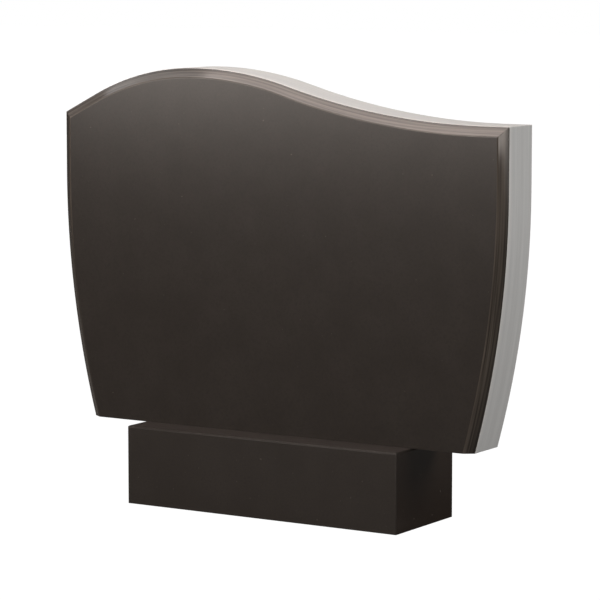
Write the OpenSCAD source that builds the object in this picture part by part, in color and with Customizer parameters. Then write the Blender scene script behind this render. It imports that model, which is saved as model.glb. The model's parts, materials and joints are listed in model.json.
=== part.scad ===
// Headstone: a thick tablet of dark polished stone with an off-centre crest,
// standing by its own weight on a plain block base.
// Millimetres, +Z up, +X to the viewer's right, +Y to the back.
// The origin is the middle of the base's underside.

/* [Base] */
// Length of the base block, left to right
base_l = 610; // [400:5:900]
// Depth of the base block, front to back
base_d = 215; // [150:5:300]
// Height of the base block
base_h = 155; // [80:5:250]
// Radius of the eased edges round the base's top
base_ease = 5; // [1:0.5:12]
// Radius of the eased upright edges of the base
base_corner = 2; // [0.5:0.5:12]

/* [Tablet] */
// Width of the tablet between its straight upper sides
tablet_w = 1000; // [800:10:1300]
// Thickness of the tablet, front to back
tablet_t = 100; // [60:5:140]
// Height of the two shoulders above the tablet's foot
shoulder_h = 607; // [450:1:800]
// Height of the straight upper part of each side, measured down from the shoulder
side_straight = 122; // [20:1:300]
// How far each side draws in at the foot
foot_in = 67; // [20:1:120]

/* [Crest] */
// Height of the crest above the shoulders
crest_rise = 93; // [40:1:200]
// How far the crest stands left of the tablet's middle
crest_left = 190; // [0:5:260]
// Width of the straight flank at the left shoulder, before it bends into the crown
flank_run = 73; // [10:1:120]
// Radius of the crown where it turns down into the long fall on the right
fall_r = 752; // [200:2:1100]
// Length of the level run at the right shoulder
level_run = 50; // [10:5:120]

/* [Chamfer] */
// Width of the chamfer round the polished face, seen from the front
chamfer_w = 18; // [6:1:30]
// Depth of that chamfer, front to back
chamfer_d = 13; // [5:1:30]

/* [Hidden] */

tablet_colour = "#3a3531";
base_colour = "#2f2a26";

// Chords along each arc of the tablet's outline
side_steps = 28;
crown_steps = 20;
fall_steps = 18;
hollow_steps = 28;

half_w = tablet_w / 2;

// Each side runs straight down from its shoulder, then bows in to the foot on one arc
// that leaves the straight without a kink.
bow_h = shoulder_h - side_straight;
side_r = (bow_h * bow_h + foot_in * foot_in) / (2 * foot_in);
side_angle = asin(bow_h / side_r);
side_centre = [half_w - side_r, bow_h];

// The short climb is a straight flank from the left shoulder and a crown arc that
// carries on from it and is level at the crest. Halving the range finds its slope.
crown_run = half_w - crest_left - flank_run;
function climb(slope) = crown_run * tan(slope / 2) + flank_run * tan(slope);
function flank_slope(low, high, halvings) =
    let (middle = (low + high) / 2)
    halvings == 0 ? middle :
    climb(middle) < crest_rise ? flank_slope(middle, high, halvings - 1) :
    flank_slope(low, middle, halvings - 1);
crown_angle = flank_slope(0, 85, 40);
crown_r = crown_run / sin(crown_angle);

// The long fall leaves the crest level and reaches the right shoulder level:
// a crown arc and a hollow arc that share a tangent where they meet.
fall_run = half_w - level_run + crest_left;
hollow_r = (fall_run * fall_run + crest_rise * crest_rise) / (2 * crest_rise) - fall_r;
fall_angle = asin(fall_run / (fall_r + hollow_r));

crest_h = shoulder_h + crest_rise;

// Points along an arc. Its angles run clockwise from straight up, and the points are
// numbered from first, so an arc can leave out an end that it shares with the last one.
function arc(centre, r, from, to, steps, first = 0) =
    [for (i = [first:steps])
        let (angle = from + (to - from) * i / steps)
        centre + r * [sin(angle), cos(angle)]];

// Outline of the tablet in X and height, clockwise from the left end of its foot
outline = concat(
    arc([-side_centre[0], bow_h], side_r, -90 - side_angle, -90, side_steps),
    [[-half_w, shoulder_h]],
    arc([-crest_left, crest_h - crown_r], crown_r, -crown_angle, 0, crown_steps),
    arc([-crest_left, crest_h - fall_r], fall_r, 0, fall_angle, fall_steps, 1),
    arc([half_w - level_run, shoulder_h + hollow_r], hollow_r, 180 + fall_angle, 180, hollow_steps, 1),
    [[half_w, shoulder_h]],
    arc(side_centre, side_r, 90, 90 + side_angle, side_steps)
);
count = len(outline);

// Inward normal of the stretch of outline that starts at point i
function inward(i) = let (run = outline[i + 1] - outline[i]) [run[1], -run[0]] / norm(run);

// Point i of the outline moved in by a width, with mitred corners. The ends of the foot
// move along the foot's own line, so the chamfer runs out through the flat underside.
function inset(i, width) =
    i == 0 ? outline[i] + [width / inward(i)[0], 0] :
    i == count - 1 ? outline[i] + [width / inward(i - 1)[0], 0] :
    let (before = inward(i - 1), after = inward(i))
    outline[i] + width * (before + after) / (1 + before * after);

// A ring of the tablet's surface: the given points at depth y
function ring(points, y) = [for (p = points) [p[0], y, base_h + p[1]]];

// Block base with eased top and upright edges, standing on its sharp-edged underside
module base() {
    color(base_colour)
        intersection() {
            eased_bar(base_l, base_d);
            rotate([0, 0, 90]) eased_bar(base_d, base_l);
            linear_extrude(base_h) plan_outline();
        }
}

// A bar along X of the given length and depth, whose two long top edges are eased
module eased_bar(length, depth) {
    rotate([90, 0, 90])
        translate([0, 0, -length / 2])
            linear_extrude(length) {
                translate([-depth / 2, 0]) square([depth, base_h - base_ease]);
                translate([base_ease - depth / 2, 0]) square([depth - 2 * base_ease, base_h]);
                for (side = [-1, 1])
                    translate([side * (depth / 2 - base_ease), base_h - base_ease])
                        circle(base_ease, $fn = 32);
            }
}

// The base seen from above: a rectangle with small round corners
module plan_outline() {
    square([base_l - 2 * base_corner, base_d], center = true);
    square([base_l, base_d - 2 * base_corner], center = true);
    for (x = [-1, 1], y = [-1, 1])
        translate([x * (base_l / 2 - base_corner), y * (base_d / 2 - base_corner)])
            circle(base_corner, $fn = 32);
}

// Tablet in one piece: back face, straight edge all round, and the chamfer to the front face
module tablet() {
    back = ring(outline, tablet_t / 2);
    arris = ring(outline, chamfer_d - tablet_t / 2);
    front = ring([for (i = [0:count - 1]) inset(i, chamfer_w)], -tablet_t / 2);
    front_start = 2 * count;
    color(tablet_colour)
        polyhedron(
            points = concat(back, arris, front),
            faces = concat(
                [[for (i = [count - 1:-1:0]) i]],
                [[for (i = [0:count - 1]) front_start + i]],
                [for (r = [0, count], i = [r:r + count - 2]) [i, i + 1, i + count + 1, i + count]],
                [[0, count, front_start, front_start + count - 1, front_start - 1, count - 1]]
            )
        );
}

base();
tablet();
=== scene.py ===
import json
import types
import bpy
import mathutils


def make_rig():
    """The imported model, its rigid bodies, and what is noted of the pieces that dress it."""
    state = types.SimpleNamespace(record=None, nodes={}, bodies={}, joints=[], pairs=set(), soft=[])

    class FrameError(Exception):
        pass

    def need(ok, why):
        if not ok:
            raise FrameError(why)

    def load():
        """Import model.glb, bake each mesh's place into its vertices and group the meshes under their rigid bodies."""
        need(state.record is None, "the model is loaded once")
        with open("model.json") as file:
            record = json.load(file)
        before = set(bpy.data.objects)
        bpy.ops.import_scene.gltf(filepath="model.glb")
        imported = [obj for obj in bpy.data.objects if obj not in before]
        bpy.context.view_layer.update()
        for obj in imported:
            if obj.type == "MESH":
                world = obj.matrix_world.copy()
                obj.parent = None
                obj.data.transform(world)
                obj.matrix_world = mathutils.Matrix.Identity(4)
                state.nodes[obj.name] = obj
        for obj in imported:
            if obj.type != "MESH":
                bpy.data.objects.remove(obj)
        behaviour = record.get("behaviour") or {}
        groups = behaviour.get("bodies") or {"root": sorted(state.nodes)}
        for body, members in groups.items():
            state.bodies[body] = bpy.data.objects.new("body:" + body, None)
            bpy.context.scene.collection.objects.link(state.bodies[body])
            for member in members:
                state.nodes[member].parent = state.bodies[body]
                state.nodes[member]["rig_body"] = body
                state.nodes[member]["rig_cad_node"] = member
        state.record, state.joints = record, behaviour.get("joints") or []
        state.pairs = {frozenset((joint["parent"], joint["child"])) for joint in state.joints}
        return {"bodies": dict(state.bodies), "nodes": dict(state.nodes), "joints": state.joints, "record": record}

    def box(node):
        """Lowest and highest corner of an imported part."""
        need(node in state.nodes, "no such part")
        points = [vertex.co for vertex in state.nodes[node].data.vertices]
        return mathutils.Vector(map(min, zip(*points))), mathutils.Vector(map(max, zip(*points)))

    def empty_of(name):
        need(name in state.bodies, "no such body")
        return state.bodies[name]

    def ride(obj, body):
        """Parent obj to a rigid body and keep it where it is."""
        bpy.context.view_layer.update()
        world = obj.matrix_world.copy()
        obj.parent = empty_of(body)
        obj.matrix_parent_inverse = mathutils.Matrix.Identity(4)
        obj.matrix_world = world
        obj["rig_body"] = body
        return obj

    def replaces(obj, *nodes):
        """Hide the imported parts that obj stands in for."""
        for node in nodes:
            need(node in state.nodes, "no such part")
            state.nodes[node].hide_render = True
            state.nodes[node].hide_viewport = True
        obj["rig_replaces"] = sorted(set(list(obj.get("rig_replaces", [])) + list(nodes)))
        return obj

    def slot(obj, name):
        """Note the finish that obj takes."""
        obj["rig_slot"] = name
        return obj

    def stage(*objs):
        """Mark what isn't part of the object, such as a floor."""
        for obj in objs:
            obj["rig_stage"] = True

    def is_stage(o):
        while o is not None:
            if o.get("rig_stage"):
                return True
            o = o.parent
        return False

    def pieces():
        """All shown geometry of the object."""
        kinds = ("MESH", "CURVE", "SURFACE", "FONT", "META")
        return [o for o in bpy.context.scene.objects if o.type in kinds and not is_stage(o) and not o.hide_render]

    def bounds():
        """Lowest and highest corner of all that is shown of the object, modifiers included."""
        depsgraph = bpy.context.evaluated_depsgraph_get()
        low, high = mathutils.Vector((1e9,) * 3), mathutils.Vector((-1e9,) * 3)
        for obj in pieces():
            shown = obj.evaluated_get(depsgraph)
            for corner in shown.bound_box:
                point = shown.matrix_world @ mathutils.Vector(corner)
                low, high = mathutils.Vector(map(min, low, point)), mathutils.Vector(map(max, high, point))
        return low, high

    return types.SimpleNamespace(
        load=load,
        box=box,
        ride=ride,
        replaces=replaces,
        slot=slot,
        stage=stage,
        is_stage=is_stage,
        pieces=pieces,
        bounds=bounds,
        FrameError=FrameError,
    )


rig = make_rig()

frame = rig.load()
CAD_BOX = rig.bounds()

import json
import logging
import math
from dataclasses import dataclass, field
from enum import Enum
from typing import Any

import bpy
from bpy.types import Material, MeshPolygon, Node, NodeSocket, NodeTree, Object
from mathutils import Vector

SIZE_FILE = "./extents.json"
LOG = logging.getLogger("headstone")

MM = 0.001
WHITE = "#ffffff"
STONE_IOR = 1.5
# How much of a face's normal lies along an axis when the face looks that way
SQUARE_ON = 0.99
# How much of a face's normal looks forwards on the chamfer, at the least
SLANTED = 0.5

Colour = tuple[float, float, float, float]
Point = tuple[float, float, float]
Span = tuple[float, float]


class Surface(Enum):
    """The ways a mason leaves a stone's surface."""

    POLISHED = "polished"
    CHAMFER = "chamfer over the top"
    FLANK = "chamfer up a side"
    GROUND = "ground to shape"
    ARRIS = "rubbed arris"
    SAWN = "sawn"
    HONED = "honed"
    END = "end of the base"


def linear(hex_colour: str) -> Colour:
    """Turn an sRGB hex colour into the linear colour that a shader takes.

    Args:
        hex_colour: the colour as six hex digits after a hash sign.

    Returns:
        Red, green, blue and an alpha of one.
    """
    parts = [int(hex_colour[i : i + 2], 16) / 255 for i in (1, 3, 5)]
    return (*[p / 12.92 if p <= 0.04045 else ((p + 0.055) / 1.055) ** 2.4 for p in parts], 1.0)


def add_node(
    tree: NodeTree,
    kind: str,
    settings: dict[str | int, Any] | None = None,
    links: dict[str | int, NodeSocket] | None = None,
) -> Node:
    """Add one node to a tree, with its settings and the links into it.

    Args:
        tree: the node tree of a material or of the world.
        kind: the node's type, without the ShaderNode at its start.
        settings: values by name, for the node's own settings or else its input sockets.
        links: the output socket that feeds each named or numbered input.

    Returns:
        The new node.
    """
    node = tree.nodes.new("ShaderNode" + kind)
    for name, value in (settings or {}).items():
        if isinstance(name, str) and hasattr(node, name):
            setattr(node, name, value)
        else:
            node.inputs[name].default_value = value
    for name, source in (links or {}).items():
        tree.links.new(source, node.inputs[name])
    return node


def new_material(name: str) -> tuple[Material, NodeTree]:
    """Make an empty node material.

    Args:
        name: what the material is called.

    Returns:
        The material and its node tree.
    """
    material = bpy.data.materials.new(name)
    material.use_nodes = True
    material.node_tree.nodes.clear()
    return material, material.node_tree


def object_place(tree: NodeTree) -> NodeSocket:
    """Add the place on the stone, in metres from the frame's origin.

    Args:
        tree: the node tree of a material.

    Returns:
        The place.
    """
    return add_node(tree, "TexCoord").outputs["Object"]


def object_depth(tree: NodeTree) -> NodeSocket:
    """Add how far back on the stone a place lies, in metres along Y.

    Args:
        tree: the node tree of a material.

    Returns:
        The depth.
    """
    return add_node(tree, "SeparateXYZ", links={"Vector": object_place(tree)}).outputs["Y"]


def remap(tree: NodeTree, value: NodeSocket, source: Span, target: Span) -> NodeSocket:
    """Map one span of a value on to another, and hold it still beyond both ends.

    Args:
        tree: the node tree of a material or of the world.
        value: the socket to map.
        source: where the span starts and ends in the value.
        target: what the two ends become.

    Returns:
        The mapped value.
    """
    settings = {"From Min": source[0], "From Max": source[1], "To Min": target[0], "To Max": target[1]}
    return add_node(tree, "MapRange", settings, {"Value": value}).outputs["Result"]


def shade_between(tree: NodeTree, factor: NodeSocket, span: Span, first: str, second: str) -> NodeSocket:
    """Run from one colour to another while a factor crosses a span.

    Args:
        tree: the node tree of a material.
        factor: the socket that drives the colour.
        span: the factor at which each colour is reached.
        first: the colour at the start of the span, in sRGB hex.
        second: the colour at its end, in sRGB hex.

    Returns:
        The colour.
    """
    ramp = add_node(tree, "ValToRGB", links={"Fac": factor})
    for element, place, colour in zip(ramp.color_ramp.elements, span, (first, second)):
        element.position = place
        element.color = linear(colour)
    return ramp.outputs["Color"]


def lay_over(tree: NodeTree, strength: NodeSocket, under: NodeSocket, over: str) -> NodeSocket:
    """Lay a plain colour over a pattern.

    Args:
        tree: the node tree of a material.
        strength: how much of the plain colour shows, from 0 to 1.
        under: the pattern underneath.
        over: the plain colour, in sRGB hex.

    Returns:
        The mixed colour.
    """
    under_input, over_input, colour_output = 6, 7, 2
    settings = {"data_type": "RGBA", over_input: linear(over)}
    mix = add_node(tree, "Mix", settings, {0: strength, under_input: under})
    return mix.outputs[colour_output]


def add_bump(tree: NodeTree, height: NodeSocket, strength: float, depth_mm: float) -> NodeSocket:
    """Raise and sink a surface's shading by a pattern.

    Args:
        tree: the node tree of a material.
        height: the pattern.
        strength: how much of it shows, from 0 to 1.
        depth_mm: the height between its lowest and highest places.

    Returns:
        The bumped normal.
    """
    settings = {"Strength": strength, "Distance": depth_mm * MM}
    return add_node(tree, "Bump", settings, {"Height": height}).outputs["Normal"]


def add_stone_shader(
    tree: NodeTree,
    colour: NodeSocket,
    roughness: NodeSocket | float,
    specular: float,
    normal: NodeSocket | None = None,
) -> None:
    """Finish a stone's material with its shader and output.

    Args:
        tree: the node tree of the material.
        colour: the stone's colour.
        roughness: how dull it is, from 0 for a mirror to 1.
        specular: how strongly it reflects.
        normal: the bumped normal, where it has one.
    """
    settings: dict[str | int, Any] = {"IOR": STONE_IOR, "Specular IOR Level": specular}
    links: dict[str | int, NodeSocket] = {"Base Color": colour}
    if isinstance(roughness, NodeSocket):
        links["Roughness"] = roughness
    else:
        settings["Roughness"] = roughness
    if normal:
        links["Normal"] = normal
    shader = add_node(tree, "BsdfPrincipled", settings, links)
    add_node(tree, "OutputMaterial", links={"Surface": shader.outputs["BSDF"]})


@dataclass(frozen=True)
class Pattern:
    """Soft noise in the stone or on its surface, with patches of a given size along X, Y and Z."""

    size_mm: Point
    detail: float = 2.0
    roughness: float = 0.5

    @classmethod
    def even(cls, size_mm: float, detail: float = 2.0, roughness: float = 0.5) -> "Pattern":
        """Return a pattern whose patches are the same size every way.

        Args:
            size_mm: the size of a patch.
            detail: octaves of finer patches.
            roughness: how strong the finer patches are.

        Returns:
            The pattern.
        """
        return cls((size_mm, size_mm, size_mm), detail, roughness)

    def add(self, tree: NodeTree) -> NodeSocket:
        """Add the pattern to a material.

        Args:
            tree: the node tree of the material.

        Returns:
            The pattern from 0 to 1.
        """
        scale = [1 / (size * MM) for size in self.size_mm]
        place = add_node(tree, "Mapping", {"Scale": scale}, {"Vector": object_place(tree)})
        settings = {"Scale": 1.0, "Detail": self.detail, "Roughness": self.roughness}
        return add_node(tree, "TexNoise", settings, {"Vector": place.outputs["Vector"]}).outputs["Fac"]


@dataclass(frozen=True)
class PolishedGabbro:
    """Fine-grained dark gabbro, ground and polished.

    To the eye: a brown-black face with a soft sheen, faint clouding and a few pale specks of feldspar.
    """

    name: str = "polished_dark_gabbro"
    colour: str = "#332e2a"
    cloud_colour: str = "#37322e"
    grain_colour: str = "#2c2825"
    speck_colour: str = "#57514a"
    clouds: Pattern = Pattern.even(70.0, 3.0)
    cloud_span: Span = (0.35, 0.7)
    # Real grain is 1 to 2 mm; it is drawn at 4 mm so that it shows at this distance.
    grain: Pattern = Pattern.even(4.0, 2.0, 0.6)
    grain_span: Span = (0.45, 0.75)
    grain_strength: float = 0.55
    specks: Pattern = Pattern.even(7.0, 1.0, 0.4)
    speck_span: Span = (0.77, 0.83)
    speck_strength: float = 0.7
    sheen: Pattern = Pattern.even(70.0 / 3, 4.0)
    roughness: Span = (0.17, 0.21)
    specular: float = 0.4

    def build(self) -> Material:
        """Return the material."""
        material, tree = new_material(self.name)
        clouds = self.clouds.add(tree)
        clouding = shade_between(tree, clouds, self.cloud_span, self.colour, self.cloud_colour)
        grain = remap(tree, self.grain.add(tree), self.grain_span, (0, self.grain_strength))
        grained = lay_over(tree, grain, clouding, self.grain_colour)
        specks = remap(tree, self.specks.add(tree), self.speck_span, (0, self.speck_strength))
        speckled = lay_over(tree, specks, grained, self.speck_colour)
        dullness = remap(tree, self.sheen.add(tree), (0, 1), self.roughness)
        add_stone_shader(tree, speckled, dullness, self.specular)
        return material


@dataclass(frozen=True)
class HonedChamfer:
    """The chamfer of the same stone, honed with a hand wheel.

    To the eye: a paler brown-grey band with faint streaks along it. It grows duller towards the outer arris, where the
    wheel rolled over it, and its colour is painted darker there: painted shade for the dark reflection along that
    arris.
    """

    name: str = "honed_chamfer"
    dark: str = "#3f3833"
    light: str = "#655d56"
    # Painted shade: the dark colour laid over the chamfer towards its outer arris
    rim_painted_shade: str = "#1d1a18"
    inner_to_outer_y: Span = (-0.050, -0.037)
    rim_power: float = 4.0
    streaks: Pattern = Pattern((260.0, 2.2, 260.0), 3.0, 0.6)
    streak_span: Span = (0.36, 0.64)
    streak_sheen: float = 0.5
    bump_strength: float = 0.25
    bump_mm: float = 0.2
    roughness: Span = (0.12, 0.4)
    specular: float = 0.5

    def build(self) -> Material:
        """Return the material."""
        material, tree = new_material(self.name)
        streaks = self.streaks.add(tree)
        colour = shade_between(tree, streaks, self.streak_span, self.dark, self.light)
        outwards = remap(tree, object_depth(tree), self.inner_to_outer_y, (0, 1))
        # Painted shade, darkening the colour towards the outer arris; the same mask also makes the rim duller
        shade = add_node(tree, "Math", {"operation": "POWER", 1: self.rim_power}, {0: outwards}).outputs[0]
        rim_shaded = lay_over(tree, shade, colour, self.rim_painted_shade)
        # The streaks are duller and shinier by turns, as much one way as the other
        swing = {"operation": "MULTIPLY_ADD", 1: self.streak_sheen, 2: -self.streak_sheen / 2}
        streaked = add_node(tree, "Math", swing, {0: streaks}).outputs[0]
        wear = add_node(tree, "Math", {"operation": "ADD"}, {0: shade, 1: streaked}).outputs[0]
        dullness = remap(tree, wear, (0, 1), self.roughness)
        bump = add_bump(tree, streaks, self.bump_strength, self.bump_mm)
        add_stone_shader(tree, rim_shaded, dullness, self.specular, bump)
        return material


@dataclass(frozen=True)
class GroundEdge:
    """The tablet's narrow sides and top, ground to shape and not polished.

    To the eye: matt light grey stone dust, with fine marks that follow the outline. A narrow band
    behind the chamfer is painted palest, a painted highlight along the front arris.
    """

    name: str = "ground_stone_edge"
    dark: str = "#c5c4c2"
    light: str = "#cecdcb"
    dust: str = "#dad8d6"
    # Painted highlight: the pale colour laid along the front of the sides and top, just behind the chamfer
    painted_front_highlight: str = "#e6e2de"
    highlight_y: Span = (-0.037, -0.027)
    highlight_strength: float = 0.6
    broad_marks: Pattern = Pattern((320.0, 7.0, 320.0))
    broad_span: Span = (0.3, 0.7)
    fine_marks: Pattern = Pattern((80.0, 1.8, 80.0), 2.0, 0.6)
    fine_span: Span = (0.5, 0.8)
    dust_strength: float = 0.5
    grain: Pattern = Pattern.even(3.0, 3.0)
    grain_span: Span = (0.5, 0.8)
    grain_strength: float = 0.25
    bump_strength: float = 0.35
    bump_mm: float = 0.25
    roughness: float = 0.85
    specular: float = 0.2

    def build(self) -> Material:
        """Return the material."""
        material, tree = new_material(self.name)
        broad, fine = self.broad_marks.add(tree), self.fine_marks.add(tree)
        colour = shade_between(tree, broad, self.broad_span, self.dark, self.light)
        lines = remap(tree, fine, self.fine_span, (0, self.dust_strength))
        marked = lay_over(tree, lines, colour, self.dust)
        grain = remap(tree, self.grain.add(tree), self.grain_span, (0, self.grain_strength))
        grained = lay_over(tree, grain, marked, self.dark)
        # Painted highlight, paler towards the front arris
        highlight = remap(tree, object_depth(tree), self.highlight_y, (self.highlight_strength, 0))
        highlighted = lay_over(tree, highlight, grained, self.painted_front_highlight)
        bump = add_bump(tree, fine, self.bump_strength, self.bump_mm)
        add_stone_shader(tree, highlighted, self.roughness, self.specular, bump)
        return material


@dataclass(frozen=True)
class SawnFace:
    """The hidden back and underside, as the gang saw leaves them.

    To the eye: flat mid grey, matt, with long level saw lines and a speckle of dark grain.
    """

    name: str = "sawn_stone"
    dark: str = "#979591"
    light: str = "#a3a19d"
    grain_colour: str = "#817f7b"
    lines: Pattern = Pattern((900.0, 900.0, 4.0), 3.0, 0.6)
    line_span: Span = (0.35, 0.65)
    grain: Pattern = Pattern.even(5.0, 3.0, 0.6)
    grain_span: Span = (0.55, 0.75)
    grain_strength: float = 0.6
    bump_strength: float = 0.4
    bump_mm: float = 0.3
    roughness: float = 0.8
    specular: float = 0.2

    def build(self) -> Material:
        """Return the material."""
        material, tree = new_material(self.name)
        lines = self.lines.add(tree)
        colour = shade_between(tree, lines, self.line_span, self.dark, self.light)
        grain = remap(tree, self.grain.add(tree), self.grain_span, (0, self.grain_strength))
        grained = lay_over(tree, grain, colour, self.grain_colour)
        bump = add_bump(tree, lines, self.bump_strength, self.bump_mm)
        add_stone_shader(tree, grained, self.roughness, self.specular, bump)
        return material


# The same chamfer up the two sides, with a sharper sheen; its colours are painted darker than over the top, as painted
# shade on the sideways-facing flanks
FLANK_CHAMFER = HonedChamfer(
    name="honed_flank_chamfer_painted_shade", dark="#38322d", light="#5e564e", roughness=(0.06, 0.3)
)
# The narrow easings between the ground surfaces, rubbed a shade paler
GROUND_ARRIS = GroundEdge(name="ground_arris", dark="#cac7c4", light="#d2cfcc")
# The base's front and its rounded edges, with a softer sheen than the tablet's face
SATIN_FRONT = PolishedGabbro(name="satin_dark_gabbro", roughness=(0.36, 0.44), specular=0.2)
# The base's top, left matt, its colour a shade paler: partly the honed finish, partly painted light from above
HONED_TOP = PolishedGabbro(
    name="honed_dark_gabbro_painted_light",
    colour="#3e3835",
    cloud_colour="#433d39",
    grain_colour="#36322f",
    roughness=(0.6, 0.68),
    specular=0.15,
)
# The base's ends, glossy, and painted darker than the front as painted shade on the ends
POLISHED_END = PolishedGabbro(
    name="polished_gabbro_end_painted_shade",
    colour="#291f18",
    cloud_colour="#2c221b",
    grain_colour="#241b15",
    roughness=(0.2, 0.26),
    specular=0.6,
)


@dataclass
class StonePiece:
    """One block of stone: the CAD solid's own shape, with its surfaces dressed."""

    node: str
    piece_name: str
    slot: str
    finishes: dict[Surface, Material]
    merge_distance: float = 0.01 * MM
    flat_angle: float = math.radians(0.15)
    smooth_angle: float = math.radians(24)
    least_arris: float = math.radians(15)
    round_profile: float = 0.5
    area_weight: int = 100
    piece: Object = field(init=False)

    def take_shape(self) -> None:
        """Copy the solid, join its loose triangles and clear the edges inside its flat faces."""
        bpy.ops.object.select_all(action="DESELECT")
        solid = frame["nodes"][self.node]
        solid.select_set(True)
        bpy.context.view_layer.objects.active = solid
        bpy.ops.object.duplicate()
        self.piece = bpy.context.view_layer.objects.active
        self.piece.name = self.piece_name
        self.piece.data.name = self.piece_name
        self.piece.parent = None
        for key in [k for k in self.piece.keys() if k.startswith("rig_")]:
            del self.piece[key]
        self.piece.data.materials.clear()
        for material in self.finishes.values():
            self.piece.data.materials.append(material)
        bpy.ops.object.mode_set(mode="EDIT")
        bpy.ops.mesh.select_all(action="SELECT")
        bpy.ops.mesh.remove_doubles(threshold=self.merge_distance)
        bpy.ops.mesh.dissolve_limited(angle_limit=self.flat_angle)
        bpy.ops.object.mode_set(mode="OBJECT")

    def surface_at(self, normal: Vector) -> Surface:
        """Say how a face is finished, from the way it looks.

        Args:
            normal: the way the face looks.

        Returns:
            The finish of that face.
        """
        raise NotImplementedError

    def number_of(self, surface: Surface) -> int:
        """Say which material slot holds a surface's finish.

        Args:
            surface: the surface.

        Returns:
            The number of its slot.
        """
        return list(self.finishes).index(surface)

    def surface_of(self, polygon: MeshPolygon) -> Surface:
        """Say which surface a dressed face belongs to.

        Args:
            polygon: the face.

        Returns:
            Its surface.
        """
        return list(self.finishes)[polygon.material_index]

    def dress(self) -> None:
        """Give each face the finish of its surface."""
        for polygon in self.piece.data.polygons:
            polygon.material_index = self.number_of(self.surface_at(polygon.normal))

    def ease(self, width: float, segments: int, joins: set[frozenset[Surface]], surface: Surface) -> None:
        """Round the arrises that join certain kinds of surface.

        Args:
            width: how far the easing reaches from the arris.
            segments: facets across the easing.
            joins: the pairs of surfaces whose common arrises are eased.
            surface: the finish of the easing.
        """
        mesh = self.piece.data
        sides: dict[tuple[int, int], list[MeshPolygon]] = {}
        for polygon in mesh.polygons:
            for key in polygon.edge_keys:
                sides.setdefault(key, []).append(polygon)
        for part in (mesh.vertices, mesh.edges, mesh.polygons):
            for element in part:
                element.select = False
        for edge in mesh.edges:
            first, second = sides[edge.key]
            pair = frozenset({self.surface_of(first), self.surface_of(second)})
            edge.select = pair in joins and first.normal.angle(second.normal) > self.least_arris
        bpy.ops.object.select_all(action="DESELECT")
        self.piece.select_set(True)
        bpy.context.view_layer.objects.active = self.piece
        bpy.ops.object.mode_set(mode="EDIT")
        bpy.ops.mesh.select_mode(type="EDGE")
        bpy.ops.mesh.bevel(
            offset=width, segments=segments, profile=self.round_profile, material=self.number_of(surface)
        )
        bpy.ops.object.mode_set(mode="OBJECT")

    def smooth(self) -> None:
        """Shade the curved stretches smooth and keep the broad faces flat up to their edges."""
        bpy.ops.object.shade_smooth_by_angle(angle=self.smooth_angle)
        weigh = self.piece.modifiers.new("even_faces", "WEIGHTED_NORMAL")
        weigh.mode = "FACE_AREA"
        weigh.weight = self.area_weight
        weigh.keep_sharp = True
        bpy.ops.object.modifier_apply(modifier=weigh.name)

    def place(self) -> None:
        """Hand the finished piece to the frame in place of the solid it was cut from."""
        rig.ride(self.piece, "root")
        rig.replaces(self.piece, self.node)
        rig.slot(self.piece, self.slot)
        LOG.info("%s: %d faces", self.piece_name, len(self.piece.data.polygons))


@dataclass
class Tablet(StonePiece):
    """The upright stone: polished face, honed chamfer, ground sides and top, sawn back."""

    mitre_width: float = 1.0 * MM
    inner_arris_width: float = 1.6 * MM
    outer_arris_width: float = 0.9 * MM

    def surface_at(self, normal: Vector) -> Surface:
        """Say how a face is finished, from the way it looks.

        Args:
            normal: the way the face looks.

        Returns:
            The finish of that face.
        """
        if normal.y < -SQUARE_ON:
            return Surface.POLISHED
        if normal.y < -SLANTED:
            return Surface.CHAMFER
        if normal.y > SQUARE_ON or normal.z < -SQUARE_ON:
            return Surface.SAWN
        return Surface.GROUND

    def part_flanks(self) -> None:
        """Give the chamfer up both sides its own finish, on from the middle of each mitre."""
        for polygon in self.piece.data.polygons:
            sideways = abs(polygon.normal.x) > abs(polygon.normal.z)
            if sideways and self.surface_of(polygon) is Surface.CHAMFER:
                polygon.material_index = self.number_of(Surface.FLANK)

    def build(self) -> None:
        """Make the tablet and put it in the frame."""
        self.take_shape()
        self.dress()
        chamfer, ground = Surface.CHAMFER, Surface.GROUND
        mitre = {frozenset({chamfer})}
        inner = {frozenset({chamfer, Surface.POLISHED})}
        outer = {frozenset({chamfer, ground}), frozenset({ground}), frozenset({ground, Surface.SAWN})}
        self.ease(self.mitre_width, segments=1, joins=mitre, surface=chamfer)
        self.ease(self.inner_arris_width, segments=3, joins=inner, surface=chamfer)
        self.ease(self.outer_arris_width, segments=2, joins=outer, surface=Surface.ARRIS)
        self.part_flanks()
        self.smooth()
        self.place()


@dataclass
class BaseBlock(StonePiece):
    """The plain block under the tablet: satin front, polished ends painted darker as painted shade, honed top painted
    paler partly as painted light, sawn back and underside.
    """

    def surface_at(self, normal: Vector) -> Surface:
        """Say how a face is finished, from the way it looks.

        Args:
            normal: the way the face looks.

        Returns:
            The finish of that face.
        """
        if normal.y > SQUARE_ON or normal.z < -SQUARE_ON:
            return Surface.SAWN
        if normal.z > SQUARE_ON:
            return Surface.HONED
        if abs(normal.x) > SQUARE_ON:
            return Surface.END
        return Surface.POLISHED

    def build(self) -> None:
        """Make the base block and put it in the frame."""
        self.take_shape()
        self.dress()
        self.smooth()
        self.place()


@dataclass(frozen=True)
class Lamp:
    """A rectangular soft lamp, with its width and height in metres and its power in watts."""

    name: str
    place: Point
    towards: Point
    size: tuple[float, float]
    power: float
    colour: str = WHITE

    def hang(self) -> None:
        """Hang the lamp, out of the camera's sight."""
        lamp = bpy.data.lights.new(self.name, "AREA")
        lamp.shape = "RECTANGLE"
        lamp.size, lamp.size_y = self.size
        lamp.energy = self.power
        lamp.color = linear(self.colour)[:3]
        holder = bpy.data.objects.new(self.name, lamp)
        bpy.context.scene.collection.objects.link(holder)
        holder.location = self.place
        beam = Vector(self.towards) - Vector(self.place)
        holder.rotation_euler = beam.to_track_quat("-Z", "Y").to_euler()
        holder.visible_camera = False


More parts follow.
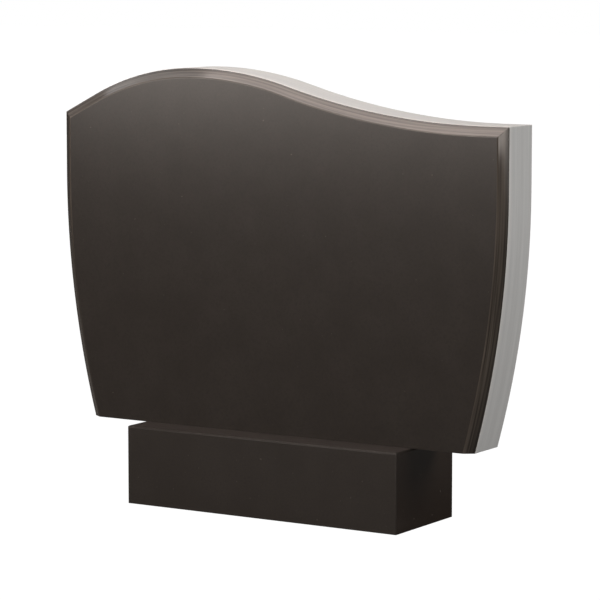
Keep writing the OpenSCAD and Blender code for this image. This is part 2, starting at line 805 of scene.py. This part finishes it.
@dataclass
class Studio:
    """A plain pale room with soft light: floor, surroundings, lamps and camera."""

    floor_size: float = 60.0
    floor_colour: str = "#6f6f6e"
    floor_roughness: float = 0.5
    floor_glow: float = 1.2
    floor_veil: float = 0.85
    warm: str = "#fff5ed"
    warmer: str = "#fff1ea"
    room_light: float = 0.07
    front_light: float = 0.3
    azimuth: float = math.radians(32.083)
    elevation: float = math.radians(6.729)
    distance: float = 5.6635
    lens: float = 176.61
    farthest: float = 100.0
    aim: Point = (0.0269, 0.0, 0.4125)

    def lay_floor(self) -> None:
        """Lay a wide pale floor that looks almost as white as the room behind it."""
        bpy.ops.object.select_all(action="DESELECT")
        bpy.ops.mesh.primitive_plane_add(size=self.floor_size, location=(0, 0, 0))
        floor = bpy.context.view_layer.objects.active
        floor.name = "floor"
        material, tree = new_material("pale_floor")
        seen = add_node(tree, "LightPath").outputs["Is Camera Ray"]
        paint = {"Color": linear(self.floor_colour), "Roughness": self.floor_roughness}
        shader = add_node(tree, "BsdfDiffuse", paint).outputs["BSDF"]
        light = {"Color": linear(WHITE), "Strength": self.floor_glow}
        glow = add_node(tree, "Emission", light).outputs["Emission"]
        veil = add_node(tree, "Math", {"operation": "MULTIPLY", 1: self.floor_veil}, {0: seen}).outputs[0]
        surface = add_node(tree, "MixShader", links={0: veil, 1: shader, 2: glow})
        add_node(tree, "OutputMaterial", links={"Surface": surface.outputs["Shader"]})
        floor.data.materials.append(material)
        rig.stage(floor)

    def fill_room(self) -> None:
        """Make the surroundings white to look at, with a dim light that comes mostly from the front."""
        world = bpy.data.worlds.new("studio")
        bpy.context.scene.world = world
        world.use_nodes = True
        tree = world.node_tree
        tree.nodes.clear()
        seen = add_node(tree, "LightPath").outputs["Is Camera Ray"]
        way = add_node(tree, "TexCoord").outputs["Generated"]
        depth = add_node(tree, "SeparateXYZ", links={"Vector": way}).outputs["Y"]
        front = remap(tree, depth, (-1, 0), (self.front_light, 0))
        total = add_node(tree, "Math", {"operation": "ADD", 1: self.room_light}, {0: front}).outputs[0]
        dim = add_node(tree, "Background", {"Color": linear(WHITE)}, {"Strength": total})
        bright = add_node(tree, "Background", {"Color": linear(WHITE), "Strength": 1.0})
        links = {0: seen, 1: dim.outputs["Background"], 2: bright.outputs["Background"]}
        surface = add_node(tree, "MixShader", links=links)
        add_node(tree, "OutputWorld", links={"Surface": surface.outputs["Shader"]})

    def lamps(self) -> tuple[Lamp, ...]:
        """Return the lamps, each a soft one for the surfaces that look its way."""
        top = CAD_BOX[1].z
        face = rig.box("tablet")[0].y
        crest = (0, 0, top)
        chest = (0, 0, 0.8)
        return (
            # Close over the crest, for the chamfer and the top just behind it
            Lamp("strip", (-0.05, face - 0.2, top + 0.2), (0, face, top - 0.1), (1.5, 0.1), 0.8),
            # High behind, a touch more on the top
            Lamp("overhead", (0.3, 0.9, top + 1.6), crest, (2.4, 1.6), 0.5),
            # High in front, mirrored in the chamfer over the top
            Lamp("softbox", (-0.6, -1.32, 3.0), crest, (2.1, 1.5), 46.0, self.warmer),
            # Far to the right and high, the main light on the right side and the top
            Lamp("side", (7.3, 2.7, 6.0), (0.45, 0, 0.4), (6.5, 6.5), 555.0),
            # Far in front on the left, mirrored in the polished face so that it pales upwards
            Lamp("panel", (-2.8, -5.75, 1.3), chest, (3.5, 1.6), 106.0, self.warm),
            # Far in front on the right and low, mirrored at the head of the right chamfer
            Lamp("far_panel", (5.2, -6.1, 0.52), chest, (3.0, 0.5), 25.0, self.warm),
            # To the left, so that the left side isn't black
            Lamp("left_panel", (-4.2, -0.3, 3.0), (-0.3, 0, top), (2.0, 1.6), 3.5),
        )

    def set_camera(self) -> None:
        """Stand the camera at the front right, a little above the crest, looking slightly down."""
        camera = bpy.data.cameras.new("camera")
        camera.lens = self.lens
        camera.clip_end = self.farthest
        holder = bpy.data.objects.new("camera", camera)
        bpy.context.scene.collection.objects.link(holder)
        back = Vector(
            (
                math.sin(self.azimuth) * math.cos(self.elevation),
                -math.cos(self.azimuth) * math.cos(self.elevation),
                math.sin(self.elevation),
            )
        )
        holder.location = Vector(self.aim) + back * self.distance
        holder.rotation_euler = (-back).to_track_quat("-Z", "Y").to_euler()
        bpy.context.scene.camera = holder

    def build(self) -> None:
        """Set up the whole studio."""
        self.lay_floor()
        self.fill_room()
        for lamp in self.lamps():
            lamp.hang()
        self.set_camera()
        bpy.context.scene.view_settings.view_transform = "Standard"
        LOG.info("studio ready")


def main() -> None:
    """Build the headstone and the studio round it, then write the two boxes."""
    logging.basicConfig(level=logging.INFO, format="%(name)s: %(message)s")
    sawn = SawnFace().build()
    tablet_finishes = {
        Surface.POLISHED: PolishedGabbro().build(),
        Surface.CHAMFER: HonedChamfer().build(),
        Surface.FLANK: FLANK_CHAMFER.build(),
        Surface.GROUND: GroundEdge().build(),
        Surface.ARRIS: GROUND_ARRIS.build(),
        Surface.SAWN: sawn,
    }
    base_finishes = {
        Surface.POLISHED: SATIN_FRONT.build(),
        Surface.HONED: HONED_TOP.build(),
        Surface.END: POLISHED_END.build(),
        Surface.SAWN: sawn,
    }
    Tablet("tablet", "tablet_stone_piece", "tablet_stone", tablet_finishes).build()
    BaseBlock("base", "base_stone_piece", "base_stone", base_finishes).build()
    Studio().build()
    with open(SIZE_FILE, "w") as file:
        json.dump([[list(corner) for corner in box] for box in (CAD_BOX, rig.bounds())], file)


if __name__ == "__main__":
    main()
